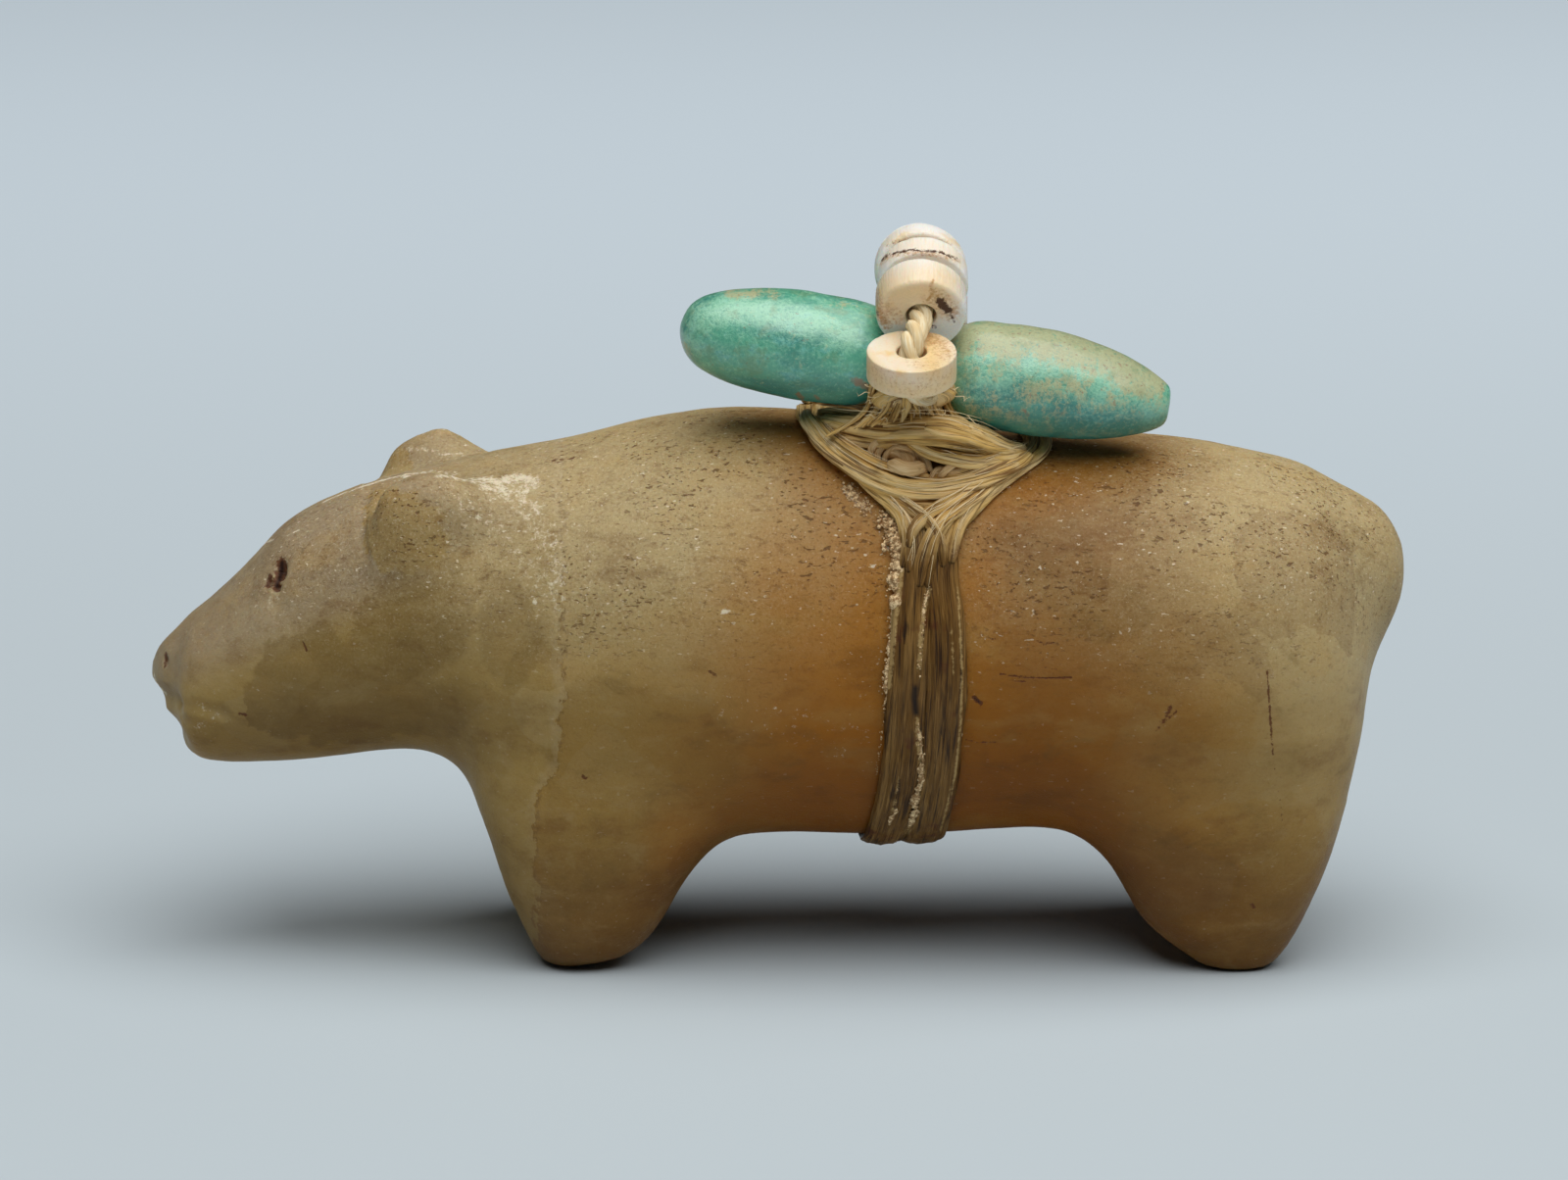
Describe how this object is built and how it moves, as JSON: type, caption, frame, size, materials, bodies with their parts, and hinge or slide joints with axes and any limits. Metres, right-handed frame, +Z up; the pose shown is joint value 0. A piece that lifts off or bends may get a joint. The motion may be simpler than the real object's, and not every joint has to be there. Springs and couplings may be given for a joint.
{
  "type": "carved stone bear fetish with offering bundle",
  "caption": "Small carved translucent stone bear standing on its paws, with turquoise pebbles and a string of shell disc beads bound to its back by flat sinew.",
  "frame": {"origin": "on the surface the paws stand on, under the middle of the whole box", "axes": "+X from the nose to the tail, +Y to the bear's right side, +Z up"},
  "size_m": [0.0902, 0.0296, 0.0527],
  "materials": {
    "honey_stone": "satin polish on translucent honey-coloured stone, greyer at the head, with frosted hollows",
    "turquoise": "satin green-blue stone with tan flecks and pits",
    "shell": "matt cream shell with ridged rims and brown stains",
    "twine": "twisted tan plant-fibre twine",
    "sinew": "dried fibrous sinew with a pale crust in its grooves"
  },
  "bodies": {
    "root": {"bear": "honey_stone", "sinew_binding": "sinew", "turquoise_front": "turquoise", "turquoise_rear": "turquoise", "bead_string": "twine", "shell_bead_1": "shell", "shell_bead_2": "shell", "shell_bead_3": "shell", "shell_bead_4": "shell", "shell_bead_5": "shell", "shell_bead_6": "shell"}
  },
  "joints": []
}
